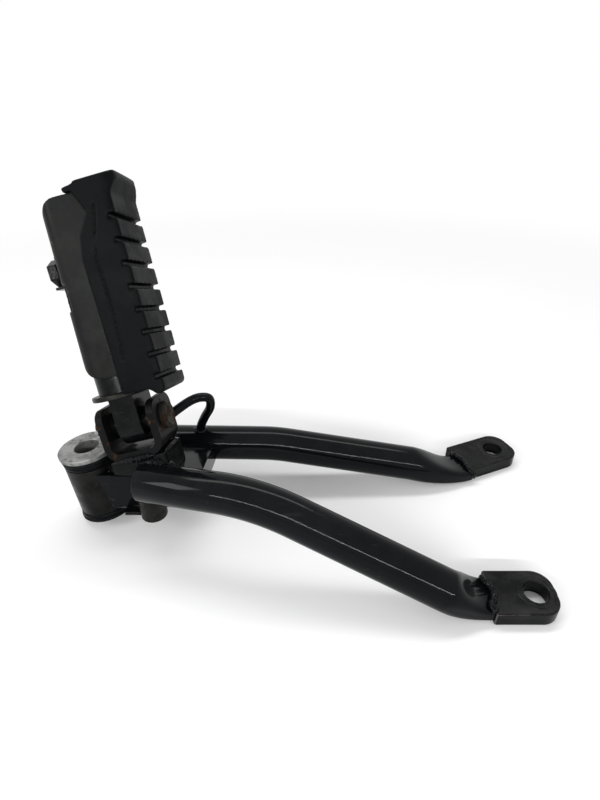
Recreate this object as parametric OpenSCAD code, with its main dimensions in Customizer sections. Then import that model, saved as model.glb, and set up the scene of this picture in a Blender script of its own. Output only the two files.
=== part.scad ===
// Passenger footpeg on its tubular hanger, with a bushed exhaust mount and a hook rod.
// Millimetres. The origin is the middle of the front lug hole on the resting plane.
// X runs along the tubes, away from the peg to the lugs; Y runs from the front tube
// to the rear tube; Z is up, along the lug holes.

/* [Lugs] */
// Clearance hole for the frame bolt in each lug
lug_bolt = 10; // [6:0.5:14]
// Diametral room of the frame bolt in its hole
lug_hole_room = 1; // [0.2:0.1:2]
// Thickness of both lug plates
lug_t = 7.4; // [3:0.5:12]
// Metal left round a lug hole
lug_wall = 6.2; // [4:0.2:12]
// Front lug hole to the free end of its lug
front_lug_end = 8.9; // [8:0.1:16]
// Rear lug hole to the free end of its lug
rear_lug_end = 11.7; // [8:0.1:16]
// Corner radius of both lug plates
lug_r = 8.5; // [2:0.5:10]
// Length of the front lug from the hole to its tube end
front_lug_len = 21; // [16:1:40]
// Length of the rear lug from the hole to its tube end
rear_lug_len = 25; // [16:1:40]
// Rear lug hole beyond the front lug hole, along X
rear_hole_x = 12; // [-30:1:60]
// Rear lug hole from the front lug hole, along Y
rear_hole_y = 102; // [80:1:140]
// Turn of the rear lug plate away from X
rear_lug_turn = 23; // [-45:1:45]

/* [Tubes] */
// Outside diameter of both hanger tubes
tube_od = 19; // [14:0.5:28]
// Wall of both hanger tubes
tube_wall = 2; // [1:0.1:4]
// Centreline radius of the tube bends
bend_r = 90; // [40:1:160]
// X of the front tube bend corner
front_corner_x = -124.4; // [-150:0.1:-90]
// Y of the front tube bend corner
front_corner_y = 21.4; // [-20:0.1:60]
// Height of the front tube at its bend corner
front_h = 43.2; // [30:0.1:60]
// Heading of the front tube towards the front lug
front_heading = -16.1; // [-30:0.1:10]
// Rise of the front tube before its bend
front_rise = 4.5; // [0:0.5:15]
// Fall of the front tube after its bend
front_fall = 19.9; // [5:0.05:40]
// Pivot pin middle to the open end of the front tube, along X
front_end = 4.5; // [0:0.1:12]
// X of the rear tube bend corner
rear_corner_x = -118.4; // [-150:0.1:-90]
// Y of the rear tube bend corner
rear_corner_y = 84.9; // [60:0.1:120]
// Height of the level run of the rear tube
rear_h = 24.6; // [15:0.1:45]
// Heading of the rear tube towards the rear lug
rear_heading = -1.6; // [-20:0.1:20]
// Fall of the rear tube after its bend
rear_fall = 9.4; // [2:0.05:30]
// How far the rear tube runs past the pivot pin middle
rear_end = 2.9; // [0:0.1:12]
// Length of the stub pressed flat in front of a lug
flat_len = 4; // [2:0.5:10]
// Height of a tube's underside where it starts to flatten
flat_start = 2.5; // [1:0.1:6]
// Width of a tube end pressed flat
flat_w = 20; // [16:0.5:28]
// Shift of the front tube end across its lug
front_shift = -2; // [-8:0.5:8]
// Shift of the rear tube end across its lug
rear_shift = -4; // [-8:0.5:8]

/* [Pivot] */
// X of the pivot pin middle
pivot_x = -183.5; // [-210:0.1:-150]
// Y of the pivot pin middle
pivot_y = 57.9; // [30:0.1:90]
// Height of the pivot pin middle
pivot_z = 59.1; // [45:0.1:90]
// Sideways lean of the clevis
lean = 14.5; // [0:0.5:30]
// Backward tilt of the clevis
tilt = 19; // [0:0.5:35]
// Extra backward set of the opened peg
peg_set = 3.5; // [0:0.5:8]
// Diameter of the pivot pin
pin_d = 8; // [5:0.5:12]
// Radial room of the pin in the peg knuckle
pin_run = 0.06; // [0.02:0.01:0.1]
// Diameter of the pin head
pin_head_d = 13; // [10:0.5:20]
// Thickness of the pin head
pin_head_t = 3; // [1.5:0.5:5]
// Pin length beyond the far ear
pin_tail = 4; // [3:0.5:12]
// Diameter of the split pin
split_d = 2; // [1.5:0.1:3.2]
// Thickness of the plain washer on the pin tail
washer_t = 1.2; // [0.8:0.1:3]

/* [Clevis] */
// Inside width between the clevis ears
clevis_in = 21.5; // [14:0.5:34]
// Sheet thickness of the clevis
clevis_t = 3.6; // [2:0.2:6]
// Depth of the clevis from front to back
clevis_depth = 24; // [16:0.5:36]
// Pin middle to the underside of the clevis floor
clevis_drop = 15.2; // [12:0.2:24]
// Pin middle to the top of the ears
ear_top = 10; // [8:0.2:18]
// Corner radius of the ears
ear_r = 6; // [2:0.5:10]
// Outer bend radius of the clevis floor
clevis_bend = 7; // [4:0.5:12]

/* [Bracket plates] */
// Thickness of the bridge plate between the tubes
bridge_t = 4; // [2:0.2:8]
// Pivot pin middle to the left edge of the bridge plate
bridge_left = 10.5; // [6:0.5:16]
// Pivot pin middle to the right edge of the bridge plate
bridge_right = 31.5; // [20:0.5:50]
// Depth of the turned-down edge of the bridge plate
bridge_lip = 9; // [4:0.5:16]
// Thickness of the web beside the bush
web_t = 4; // [2:0.2:8]
// Height of the lower end of the web
web_z = 12; // [4:0.5:25]
// Pivot pin middle to the near face of the web
web_front = 7; // [4:0.5:12]
// Width of the turned lower edge of the web
web_lip = 9; // [4:0.5:14]
// Pivot pin middle to the round boss below the front tube, along X
boss_side = 5; // [2:0.5:12]
// Distance of the boss behind the front tube middle
boss_back = 6; // [0:0.5:12]
// Diameter of the round boss below the front tube
boss_d = 13; // [8:0.5:20]
// Height of the lower end of the round boss
boss_z = 12; // [2:0.5:25]

/* [Bush] */
// Pivot pin middle to the bush collar middle, along X
bush_out = 28.5; // [26:0.5:45]
// How far the bush collar middle is behind the pivot pin middle
bush_back = 1.3; // [-6:0.1:8]
// Sideways lean of the bush
bush_lean = 6.7; // [0:0.1:20]
// Backward tilt of the bush
bush_tilt = 3.6; // [0:0.1:20]
// Bolt that passes the bush
bush_bolt = 11; // [8:0.5:16]
// Diametral room of that bolt in the steel collar
bush_bolt_room = 1; // [0.2:0.1:2]
// Wall of the steel collar
collar_wall = 2; // [1:0.1:4]
// Diameter of the collar flange
collar_flange_d = 28; // [22:0.5:40]
// Thickness of the collar flange
collar_flange_t = 2.4; // [1:0.1:5]
// Length of the steel collar with its flange
collar_len = 42; // [30:0.5:70]
// Outside diameter of the welded sleeve
sleeve_od = 26; // [22:0.5:40]
// Wall of the welded sleeve
sleeve_wall = 2; // [1.2:0.1:4]
// Length of the welded sleeve
sleeve_len = 27; // [18:0.5:55]
// Flange thickness of each rubber bush
rubber_flange_t = 5; // [2:0.2:9]
// Flange diameter of each rubber bush
rubber_flange_d = 27; // [18:0.5:36]

/* [Hook rod] */
// Diameter of the bent hook rod
rod_d = 4.8; // [3:0.2:8]
// Pivot pin middle to the hook rod foot on the rear tube, along X
rod_side = 23.5; // [18:0.5:40]
// Height of the hook rod above the rear tube middle
rod_rise = 35; // [20:0.5:60]
// Sideways throw of the hook rod
rod_throw = 9.5; // [4:0.5:25]

/* [Peg core] */
// Width of the knuckle along the pin
knuckle_w = 12; // [8:0.5:18]
// Radius of the knuckle round the pin
knuckle_r = 10; // [7:0.5:11]
// Sideways place of the neck from the knuckle middle
neck_x = -3.5; // [-6:0.5:6]
// Diameter of the round neck
neck_d = 20; // [12:0.5:21]
// Pin middle to the top of the neck
neck_m = 27; // [22:0.5:40]
// Diameter of the neck ring
ring_d = 27; // [16:0.5:30]
// Thickness of the neck ring
ring_t = 2.4; // [1:0.2:5]
// Pin middle to the underside of the neck ring
ring_m = 13.4; // [13:0.1:24]
// Thickness of the flat core bar
bar_t = 7; // [4:0.5:12]
// Width of the flat core bar
bar_w = 16; // [8:0.5:24]
// Pin middle to the end of the core bar
bar_end = 99.5; // [84:0.5:130]

/* [Tread rubber] */
// Pin middle to the outer end of the peg rubber
peg_len = 109.5; // [90:0.5:140]
// Width of the peg rubber
tread_w = 30; // [24:1:44]
// Core bar face to the tread face
tread_h = 17; // [10:0.5:26]
// How far the rubber reaches round the core bar
tread_skirt = 3; // [1:0.5:6]
// Pin middle to the first edge of the rubber
tread_m = 15.6; // [15:0.1:24]
// How much lower the tread face reaches than that edge
tread_drop = 3.8; // [0:0.2:6]
// Distance between the tread grooves
groove_pitch = 10; // [6:0.5:16]
// Width of a tread groove
groove_w = 2.4; // [1:0.1:5]
// Depth of a tread groove
groove_depth = 3.2; // [1:0.1:6]
// Number of tread grooves
groove_n = 8; // [3:1:9]
// Pin middle to the lowest groove
groove_m = 19.6; // [18:0.1:30]
// How far the end lip stands above the tread face
lip_h = 3; // [1:0.2:6]
// Length of the end lip
lip_len = 6.5; // [4:0.5:14]
// How much lower the back of the rubber ends than its tread face
end_step = 4.5; // [0:0.5:8]
// Corner radius of the tread face
tread_r = 6; // [2:0.5:10]
// Radius of the rounded peg end
end_r = 44; // [18:1:60]

/* [Underside shell] */
// Core bar face to the underside of the shell
shell_h = 13.5; // [12:0.5:24]
// How much nearer the core the shell is at its upper end
shell_taper = 2.5; // [0:0.5:6]
// Width of the shell
shell_w = 26; // [20:0.5:40]
// Wall of the shell
shell_wall = 2.4; // [1.2:0.1:4]
// Pin middle to the lower end of the shell
shell_m0 = 24; // [20:0.5:40]
// Pin middle to the upper end of the shell
shell_m1 = 104; // [80:1:130]
// Radius of the shell nose
nose_r = 10; // [4:0.5:14]
// Corner radius of the shell section
shell_r = 7; // [2:0.5:11]
// Length of the window in the shell
window_len = 12; // [6:0.5:20]
// Pin middle to the window middle
window_m = 62; // [50:1:80]
// Diameter of the retaining bolt
keep_bolt = 6; // [4:0.5:8]
// Width across flats of the retaining bolt head
keep_af = 11; // [7:0.5:14]
// Height of the retaining bolt head
keep_head = 4.5; // [2:0.5:8]
// Pin middle to the retaining bolt
keep_m = 75; // [60:1:95]
// How proud the seat of the retaining bolt stands of the shell
keep_pad = 0.4; // [0.2:0.1:2]
// Thickness of the tab washer
tab_t = 1.2; // [0.6:0.1:2]

/* [View] */
// Node to draw

/* [Hidden] */
$fn = 64;
fit_room = 0.05;
bend_lap = 0.3;
bend_swell = 0.06;
far_cut = 400;
lug_hole = lug_bolt + lug_hole_room;
lug_w = lug_hole + 2 * lug_wall;
tube_r = tube_od / 2;
clevis_out = clevis_in + 2 * clevis_t;
ear_side = clevis_out / 2 + 0.6;
pin_bore = pin_d + 2 * pin_run;
pin_end = -clevis_out / 2 - washer_t - pin_tail;
split_head_d = 1.9 * split_d;
split_x = -clevis_out / 2 - washer_t - split_head_d / 2 - fit_room;
front_run = (front_corner_x - pivot_x - front_end) / (cos(front_heading) * cos(front_rise));
rear_run = (rear_corner_x - pivot_x + rear_end) / cos(rear_heading);
bridge_x0 = pivot_x - bridge_left;
bridge_x1 = pivot_x + bridge_right;
boss_x = pivot_x + boss_side;
front_z = front_h - (front_corner_x - pivot_x) * tan(front_rise) / cos(front_heading);
slope = atan((front_z - rear_h) / (rear_y(pivot_x) - front_y(pivot_x)));
bridge_span = norm([front_z - rear_h, rear_y(pivot_x) - front_y(pivot_x)]);
boss_y = front_y(boss_x) + boss_back;
shell_turn = atan(shell_taper / (shell_m1 - shell_m0));
seat_x = -shell_h + (keep_m - shell_m0) * tan(shell_turn) - keep_pad;
skirt_x = bar_t - tread_skirt;
tread_x = bar_t + tread_h;
ring_top = ring_m + ring_t;
stub_d = neck_d - 6;
bush_x = pivot_x - bush_out;
bush_y = pivot_y + bush_back;
bush_bore = bush_bolt + bush_bolt_room;
collar_od = bush_bore + 2 * collar_wall;
bush_lean_all = acos(cos(bush_lean) * cos(bush_tilt));
bush_z = collar_len * cos(bush_lean_all) + collar_od / 2 * sin(bush_lean_all);
sleeve_top = collar_flange_t + rubber_flange_t;
sleeve_in = sleeve_od - 2 * sleeve_wall;
rod_x = pivot_x + rod_side;
rod_y = rear_y(rod_x);
rod_top = rear_h + rod_rise;
rod_path = [
  [pivot_x + clevis_out / 2, pivot_y + clevis_depth / 2 - 1, pivot_z - 4],
  [rod_x - 1, rod_y - 9, rod_top - 2],
  [rod_x + rod_throw / 2, rod_y - 7, rod_top],
  [rod_x + rod_throw, rod_y - 5, rod_top - 4],
  [rod_x + 1, rod_y - 2, rod_top - rod_rise * 0.6],
  [rod_x, rod_y, rear_h]
];

// Y of a tube centreline at a given X
function front_y(x) = front_corner_y + (x - front_corner_x) * tan(front_heading);
function rear_y(x) = rear_corner_y + (x - rear_corner_x) * tan(rear_heading);

// Places a piece in the clevis frame: X along the pin, Z up the ears
module at_clevis() {
  translate([pivot_x, pivot_y, pivot_z])
    rotate([0, -lean, 0])
      rotate([-tilt, 0, 0])
        children();
}

// Places a piece in the opened peg frame: X along the pin, Z along the peg
module at_peg() {
  at_clevis()
    rotate([-peg_set, 0, 0])
      children();
}

// Places a piece on the bush axis, with its origin in the middle of the collar top
module at_bush() {
  translate([bush_x, bush_y, bush_z])
    rotate([0, -bush_lean, 0])
      rotate([-bush_tilt, 0, 0])
        children();
}

// Places a piece at the bend corner of a tube, with X along the run before the bend
module at_front_tube() {
  translate([front_corner_x, front_corner_y, front_h])
    rotate([0, -front_rise, front_heading])
      children();
}

module at_rear_tube() {
  translate([rear_corner_x, rear_corner_y, rear_h])
    rotate([0, 0, rear_heading])
      children();
}

// Places a piece at the rear lug hole, with X along the rear lug plate
module at_rear_lug() {
  translate([rear_hole_x, rear_hole_y, 0])
    rotate([0, 0, rear_lug_turn])
      children();
}

// Places a piece in the plane of both tube middles below the clevis
module at_bridge() {
  translate([0, front_y(pivot_x), front_z])
    rotate([-slope, 0, 0])
      children();
}

// Turns a flat drawing of width and height so that it runs along X
module along_x(l) {
  rotate([90, 0, 90])
    linear_extrude(l, center = true)
      children();
}

// Turns a flat drawing of X and Z so that it runs along Y
module along_y(l) {
  rotate([90, 0, 0])
    linear_extrude(l, center = true)
      children();
}

// Rectangle from one corner to the other with all corners rounded
module rounded_box(x0, y0, x1, y1, r) {
  translate([x0 + r, y0])
    square([x1 - x0 - 2 * r, y1 - y0]);
  translate([x0, y0 + r])
    square([x1 - x0, y1 - y0 - 2 * r]);
  for (x = [x0 + r, x1 - r])
    for (y = [y0 + r, y1 - r])
      translate([x, y])
        circle(r = r);
}

// Ring with its lower face at the origin
module ring(od, id, t) {
  difference() {
    cylinder(d = od, h = t);
    translate([0, 0, -1])
      cylinder(d = id, h = t + 2);
  }
}

// Straight piece of tube along X
module straight_tube(l) {
  rotate([0, 90, 0])
    difference() {
      cylinder(r = tube_r, h = l, $fn = 48);
      translate([0, 0, -1])
        cylinder(r = tube_r - tube_wall, h = l + 2, $fn = 48);
    }
}

// Tube along its centreline: first run, one bend by an angle, falling run
module bent_tube(run, turn, fall_len) {
  t = bend_r * tan(turn / 2);
  translate([-run, 0, 0])
    straight_tube(run - t + bend_lap);
  translate([-t, 0, -bend_r])
    rotate([90, 0, 0])
      rotate([0, 0, 90 - turn])
        rotate_extrude(angle = turn, $fn = 180)
          translate([bend_r, 0])
            difference() {
              circle(r = tube_r + bend_swell, $fn = 48);
              circle(r = tube_r - tube_wall - bend_swell, $fn = 48);
            }
  rotate([0, turn, 0])
    translate([t - bend_lap, 0, 0])
      straight_tube(fall_len - t + bend_lap);
}

// Length of the falling run until the tube starts to flatten
function fall_len(h, fall) = (h - tube_r - flat_start) / sin(fall);

// Thin disc where a tube starts to flatten
module tube_end(turn, l) {
  rotate([0, turn, 0])
    translate([l - 1, 0, 0])
      rotate([0, 90, 0])
        cylinder(r = (tube_r + bend_swell) / cos(180 / 32), h = 1, $fn = 32);
}

// Flat end of a tube that meets its lug plate
module flat_end(l, shift) {
  translate([-l - flat_len, shift - flat_w / 2, lug_t * 0.07])
    cube([flat_len, flat_w, lug_t * 0.86]);
}

module front_tube() {
  color("#141517") {
    at_front_tube()
      bent_tube(front_run, front_rise + front_fall, fall_len(front_h, front_fall) - 0.5);
    hull() {
      at_front_tube()
        tube_end(front_rise + front_fall, fall_len(front_h, front_fall));
      flat_end(front_lug_len, front_shift);
    }
  }
}

module rear_tube() {
  color("#141517") {
    at_rear_tube()
      bent_tube(rear_run, rear_fall, fall_len(rear_h, rear_fall) - 0.5);
    hull() {
      at_rear_tube()
        tube_end(rear_fall, fall_len(rear_h, rear_fall));
      at_rear_lug()
        flat_end(rear_lug_len, rear_shift);
    }
  }
}

// Lug plate with its hole at the origin
module lug_plate(l, end) {
  linear_extrude(lug_t)
    difference() {
      union() {
        rounded_box(-l, -lug_w / 2, end, lug_w / 2, lug_r);
        translate([-l, -lug_w / 2])
          square([l, lug_w]);
      }
      circle(d = lug_hole);
    }
}

module front_lug() {
  color("#17181a")
    lug_plate(front_lug_len, front_lug_end);
}

module rear_lug() {
  color("#17181a")
    at_rear_lug()
      lug_plate(rear_lug_len, rear_lug_end);
}

// First runs of both tubes as solid bars, for fitting plates to them
module tube_bars(room) {
  at_front_tube()
    translate([-front_run, 0, 0])
      rotate([0, 90, 0])
        cylinder(r = tube_r + room, h = front_run);
  at_rear_tube()
    translate([-rear_run, 0, 0])
      rotate([0, 90, 0])
        cylinder(r = tube_r + room, h = rear_run);
}

module bridge_plate() {
  color("#2a2c2e")
    difference() {
      at_bridge() {
        translate([bridge_x0, 0, -bridge_t / 2])
          cube([bridge_x1 - bridge_x0, bridge_span, bridge_t]);
        translate([bridge_x1 - bridge_t, 0, -bridge_lip])
          cube([bridge_t, bridge_span, bridge_lip]);
        translate([bridge_x1 - bridge_t, -tube_r, -bridge_t / 2])
          cube([bridge_t, tube_r, bridge_t]);
      }
      tube_bars(0);
    }
}

// Packing between the clevis floor and the bridge plate
module saddle() {
  color("#2a2c2e")
    difference() {
      at_clevis()
        translate([-clevis_out / 2 + 1, -clevis_depth / 2, -3 * clevis_drop])
          cube([clevis_out - 2, clevis_depth, 2 * clevis_drop]);
      at_bridge()
        translate([pivot_x - far_cut / 2, -far_cut / 2, bridge_t / 2 - far_cut])
          cube(far_cut);
      tube_bars(0);
    }
}

// Outline of the channel seen along Y, grown inwards by t
module channel_outline(t) {
  r = clevis_bend - t;
  x = clevis_out / 2 - t;
  z = clevis_drop - t;
  rounded_box(-x, -z, x, 0, r);
  translate([-x, -z + r])
    square([2 * x, z - r + ear_top + t]);
}

module clevis() {
  color("#1b1c1e")
    at_clevis()
      difference() {
        intersection() {
          along_y(clevis_depth)
            difference() {
              channel_outline(0);
              channel_outline(clevis_t);
            }
          along_x(clevis_out + 2) {
            rounded_box(-clevis_depth / 2, -clevis_drop, clevis_depth / 2, ear_top, ear_r);
            translate([-clevis_depth / 2, -clevis_drop])
              square([clevis_depth, clevis_drop]);
          }
        }
        rotate([0, 90, 0])
          cylinder(d = pin_d + 2 * fit_room, h = clevis_out + 2, center = true);
      }
}

module bush_sleeve() {
  color("#3a3b35")
    at_bush()
      translate([0, 0, -sleeve_top - sleeve_len])
        ring(sleeve_od, sleeve_in, sleeve_len);
}

module bush_web() {
  color("#2a2c2e")
    difference() {
      union() {
        translate([bush_x, pivot_y - web_front - web_t, web_z])
          cube([boss_x - bush_x, web_t, front_h - web_z]);
        translate([bridge_x0 + 1, pivot_y - web_front - web_lip, web_z])
          cube([boss_x - bridge_x0, web_lip, web_t / 2]);
      }
      at_bush()
        translate([0, 0, -sleeve_top - 2 * sleeve_len])
          cylinder(d = sleeve_od, h = 3 * sleeve_len);
      at_bridge()
        translate([pivot_x - far_cut / 2, -far_cut / 2, -bridge_t / 2])
          cube(far_cut);
      translate([boss_x, boss_y, 0])
        cylinder(d = boss_d, h = front_h);
      tube_bars(0);
    }
}

module under_boss() {
  color("#55564a")
    difference() {
      translate([boss_x, boss_y, boss_z]) {
        cylinder(d = boss_d, h = front_h - boss_z);
        intersection() {
          translate([0, 0, boss_d])
            sphere(r = boss_d * 1.11);
          translate([0, 0, -boss_d])
            cylinder(d = boss_d, h = boss_d);
        }
      }
      at_bridge()
        translate([pivot_x - far_cut / 2, -far_cut / 2, -bridge_t / 2])
          cube(far_cut);
      tube_bars(0);
    }
}

// Rubber bush with its flange face at the origin, going down
module flanged_rubber() {
  half = sleeve_len / 2 - 1;
  difference() {
    union() {
      translate([0, 0, -rubber_flange_t])
        cylinder(d1 = rubber_flange_d - 2, d2 = rubber_flange_d, h = rubber_flange_t);
      translate([0, 0, -rubber_flange_t - half])
        cylinder(d = sleeve_in - 2 * fit_room, h = half + 1);
    }
    translate([0, 0, -rubber_flange_t - half - 1])
      cylinder(d = collar_od + 2 * fit_room, h = rubber_flange_t + half + 2);
  }
}

module upper_bush() {
  color("#0e0e0f")
    at_bush()
      translate([0, 0, -collar_flange_t])
        flanged_rubber();
}

module lower_bush() {
  color("#0e0e0f")
    at_bush()
      translate([0, 0, -sleeve_top - sleeve_len - rubber_flange_t])
        mirror([0, 0, 1])
          flanged_rubber();
}

module steel_collar() {
  color("#b9bcbd")
    at_bush() {
      translate([0, 0, -collar_flange_t])
        ring(collar_flange_d, bush_bore, collar_flange_t);
      translate([0, 0, -collar_len])
        ring(collar_od, bush_bore, collar_len);
    }
}

// Round bar between two points
module bar_between(a, b) {
  d = b - a;
  translate(a)
    rotate([0, acos(d.z / norm(d)), atan2(d.y, d.x)])
      cylinder(d = rod_d, h = norm(d), $fn = 32);
}

module hook_rod() {
  color("#1c1d1f")
    difference() {
      union() {
        for (i = [0:len(rod_path) - 2])
          bar_between(rod_path[i], rod_path[i + 1]);
        for (i = [1:len(rod_path) - 2])
          translate(rod_path[i])
            sphere(d = rod_d + 2 * bend_swell, $fn = 32);
      }
      at_clevis()
        translate([-clevis_out, -clevis_depth / 2, -clevis_drop])
          cube([1.5 * clevis_out, clevis_depth, clevis_drop + ear_top]);
      tube_bars(0);
    }
}

module pivot_pin() {
  color("#8a7f74")
    at_clevis()
      difference() {
        rotate([0, 90, 0]) {
          translate([0, 0, pin_end])
            cylinder(d = pin_d, h = clevis_out / 2 - pin_end + 0.5);
          translate([0, 0, clevis_out / 2])
            cylinder(d = pin_head_d, h = pin_head_t - 1);
          translate([0, 0, clevis_out / 2 + pin_head_t - 1])
            cylinder(d1 = pin_head_d, d2 = pin_head_d - 2, h = 1);
        }
        translate([split_x, 0, 0])
          rotate([90, 0, 0])
            cylinder(d = split_d + 2 * fit_room, h = pin_d + 2, center = true);
      }
}

module pin_washer() {
  color("#8d8f8e")
    at_clevis()
      translate([-clevis_out / 2 - washer_t, 0, 0])
        rotate([0, 90, 0])
          ring(pin_d + 7, pin_d + 2 * fit_room, washer_t);
}

module split_pin() {
  color("#8d8f8e")
    at_clevis()
      translate([split_x, 0, 0])
        rotate([90, 0, 0]) {
          cylinder(d = split_d, h = pin_d + 8, center = true, $fn = 32);
          translate([0, 0, -pin_d / 2 - 3])
            cylinder(d = split_head_d, h = 1.6, center = true, $fn = 32);
        }
}

// Turned and flattened steel bar: knuckle, neck and core
module peg_core() {
  color("#5b5c52")
    at_peg()
      difference() {
        union() {
          rotate([0, 90, 0]) {
            cylinder(r = knuckle_r, h = knuckle_w, center = true);
            cylinder(d = pin_d + 5, h = clevis_in - 6 * fit_room, center = true);
          }
          translate([-knuckle_w / 2, -knuckle_r, 0])
            cube([knuckle_w, 2 * knuckle_r, ring_m]);
          translate([neck_x, 0, ring_m - 1])
            cylinder(d = stub_d, h = ring_t + 2);
          translate([neck_x, 0, ring_top])
            cylinder(d = neck_d, h = neck_m - ring_top);
          translate([0, -bar_w / 2, neck_m - 1])
            cube([bar_t, bar_w, bar_end - neck_m + 1]);
        }
        rotate([0, 90, 0])
          cylinder(d = pin_bore, h = clevis_out, center = true);
        translate([-1, 0, keep_m])
          rotate([0, 90, 0])
            cylinder(d = keep_bolt + 2 * fit_room, h = bar_t + 2);
      }
}

module neck_ring() {
  color("#9a9b94")
    at_peg()
      translate([neck_x, 0, ring_m])
        ring(ring_d, stub_d + 2 * fit_room, ring_t);
}

// Side outline of the shell, X against height along the peg, leaning in towards its top
module shell_outline(t) {
  x0 = -shell_h + t;
  y0 = shell_m0 + t;
  y1 = shell_m1 - t;
  difference() {
    translate([-shell_h, shell_m0])
      rotate(-shell_turn)
        translate([shell_h, -shell_m0]) {
          rounded_box(x0, y0, skirt_x + 12, y1, nose_r - t);
          translate([0, y0])
            square([skirt_x + 8, y1 - y0]);
        }
    polygon([[skirt_x, 0], [skirt_x, shell_m1 - 29], [skirt_x + 2, shell_m1 - 19],
      [skirt_x + 8, shell_m1 - 10], [skirt_x + 5, shell_m1 - 3], [skirt_x, peg_len],
      [60, peg_len + 20], [60, 0]]);
  }
}

// Tread rubber with grooves across its face and a flared lip at the end
module tread_rubber() {
  color("#1d1f22")
    at_peg()
      difference() {
        intersection() {
          along_y(tread_w) {
            polygon([[0, tread_m], [ear_side, tread_m], [tread_x - 3, tread_m - tread_drop],
              [tread_x - 3, peg_len], [0, peg_len]]);
            translate([0, tread_m - tread_drop + 3])
              square([tread_x, peg_len - tread_m + tread_drop - 3]);
            translate([tread_x - 3, tread_m - tread_drop + 3])
              circle(r = 3);
            polygon([[tread_x - 1, peg_len - 2 * lip_len], [tread_x, peg_len - 1.6 * lip_len],
              [tread_x + lip_h, peg_len - lip_len + 2], [tread_x + lip_h, peg_len - 3],
              [tread_x - 1, peg_len]]);
            translate([tread_x + lip_h - 3, peg_len - 3])
              circle(r = 3);
          }
          linear_extrude(2 * peg_len)
            rounded_box(-tread_x, -tread_w / 2, tread_x + lip_h, tread_w / 2, tread_r);
          union() {
            translate([-50, -50, 0])
              cube([100, 100, peg_len - end_r]);
            translate([0, 0, peg_len - end_r])
              rotate([0, 90, 0])
                cylinder(r = end_r, h = 100, center = true, $fn = 96);
          }
        }
        for (i = [0:groove_n - 1])
          translate([tread_x - groove_depth, -tread_w, groove_m + i * groove_pitch - groove_w / 2])
            cube([groove_depth + lip_h + 1, 2 * tread_w, groove_w]);
        translate([-1, -bar_w / 2, 0])
          cube([bar_t + 1, bar_w, bar_end]);
        along_y(2 * tread_w) {
          shell_outline(0);
          polygon([[0, peg_len - end_step], [skirt_x + 5, peg_len - end_step + 1],
            [skirt_x + 8, peg_len + 1], [0, peg_len + 1]]);
        }
        translate([-50, -50, 0])
          cube([50 + skirt_x, 100, 2 * peg_len]);
        translate([neck_x, 0, 0])
          cylinder(d = neck_d + 6 * fit_room, h = neck_m + fit_room);
        translate([neck_x, 0, 0])
          cylinder(d = ring_d + 12 * fit_room, h = ring_top + 4 * fit_room);
        side_crease();
      }
}

// Shallow crease along both flanks of the rubber
module side_crease() {
  for (y = [-1, 1])
    translate([0, y * tread_w / 2, 0])
      along_y(1.6)
        polygon([[skirt_x + 4.5, tread_m + 14], [skirt_x + 6, shell_m1 - 52],
          [skirt_x + 6, shell_m1 - 29], [skirt_x + 11.5, shell_m1 - 8],
          [skirt_x + 12.6, shell_m1 - 8.4], [skirt_x + 7, shell_m1 - 29],
          [skirt_x + 7, shell_m1 - 52], [skirt_x + 5.5, tread_m + 14]]);
}

// Hollow shell below the core bar, with a boss for the retaining screw
module under_shell() {
  color("#26282b")
    at_peg()
      difference() {
        union() {
          difference() {
            shell_body(0);
            shell_body(shell_wall);
          }
          translate([seat_x, 0, keep_m])
            rotate([0, 90, 0])
              cylinder(d = keep_bolt + 6, h = -seat_x);
        }
        translate([seat_x - 1, 0, keep_m])
          rotate([0, 90, 0])
            cylinder(d = keep_bolt + 4 * fit_room, h = 2 - seat_x);
        translate([neck_x, 0, 0])
          cylinder(d = neck_d + 6 * fit_room, h = neck_m + fit_room);
        translate([0, -bar_w / 2 - fit_room, 0])
          cube([2 * bar_t, bar_w + 2 * fit_room, bar_end + fit_room]);
        for (y = [-1, 1])
          translate([-shell_h, y * shell_w / 2, window_m])
            cube([10, 12, window_len], center = true);
      }
}

// Solid form of the shell, shrunk by t on its closed sides
module shell_body(t) {
  intersection() {
    along_y(shell_w - 2 * t)
      shell_outline(t);
    translate([-shell_h, 0, shell_m0])
      rotate([0, shell_turn, 0])
        translate([0, 0, -10])
          linear_extrude(2 * peg_len)
            rounded_box(t, -shell_w / 2 + t, 60, shell_w / 2 - t, shell_r - t);
  }
}

module tab_washer() {
  color("#3b3d3e")
    at_peg()
      translate([seat_x, 0, keep_m])
        difference() {
          union() {
            translate([-tab_t, -5, -keep_af / 2 - 1])
              cube([tab_t, 10, keep_af + 2]);
            translate([-tab_t - 4, -4, -keep_af / 2 - 1 - tab_t])
              cube([tab_t + 4, 8, tab_t]);
          }
          rotate([0, 90, 0])
            cylinder(d = keep_bolt + 4 * fit_room, h = 6, center = true);
        }
}

module keep_screw() {
  color("#4a4c4d")
    at_peg()
      translate([seat_x - tab_t, 0, keep_m])
        rotate([0, 90, 0]) {
          translate([0, 0, -keep_head])
            linear_extrude(keep_head)
              circle(d = keep_af / cos(30), $fn = 6);
          cylinder(d = keep_bolt, h = tab_t + bar_t - seat_x);
        }
}

front_tube();
rear_tube();
front_lug();
rear_lug();
bridge_plate();
saddle();
clevis();
bush_sleeve();
bush_web();
under_boss();
upper_bush();
lower_bush();
steel_collar();
hook_rod();
pivot_pin();
pin_washer();
split_pin();
peg_core();
neck_ring();
tread_rubber();
under_shell();
tab_washer();
keep_screw();
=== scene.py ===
# %% [markdown]
# A passenger footpeg on its welded tube hanger, dressed for a picture.
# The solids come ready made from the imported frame: their sizes and places are fixed.
# This lesson gives each of them the surface of the real, used thing, and swaps a few plain
# solids for softer meshes: bent tubes, moulded rubber, ground edges and weld beads.

# %% Load the frame
import math

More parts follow.
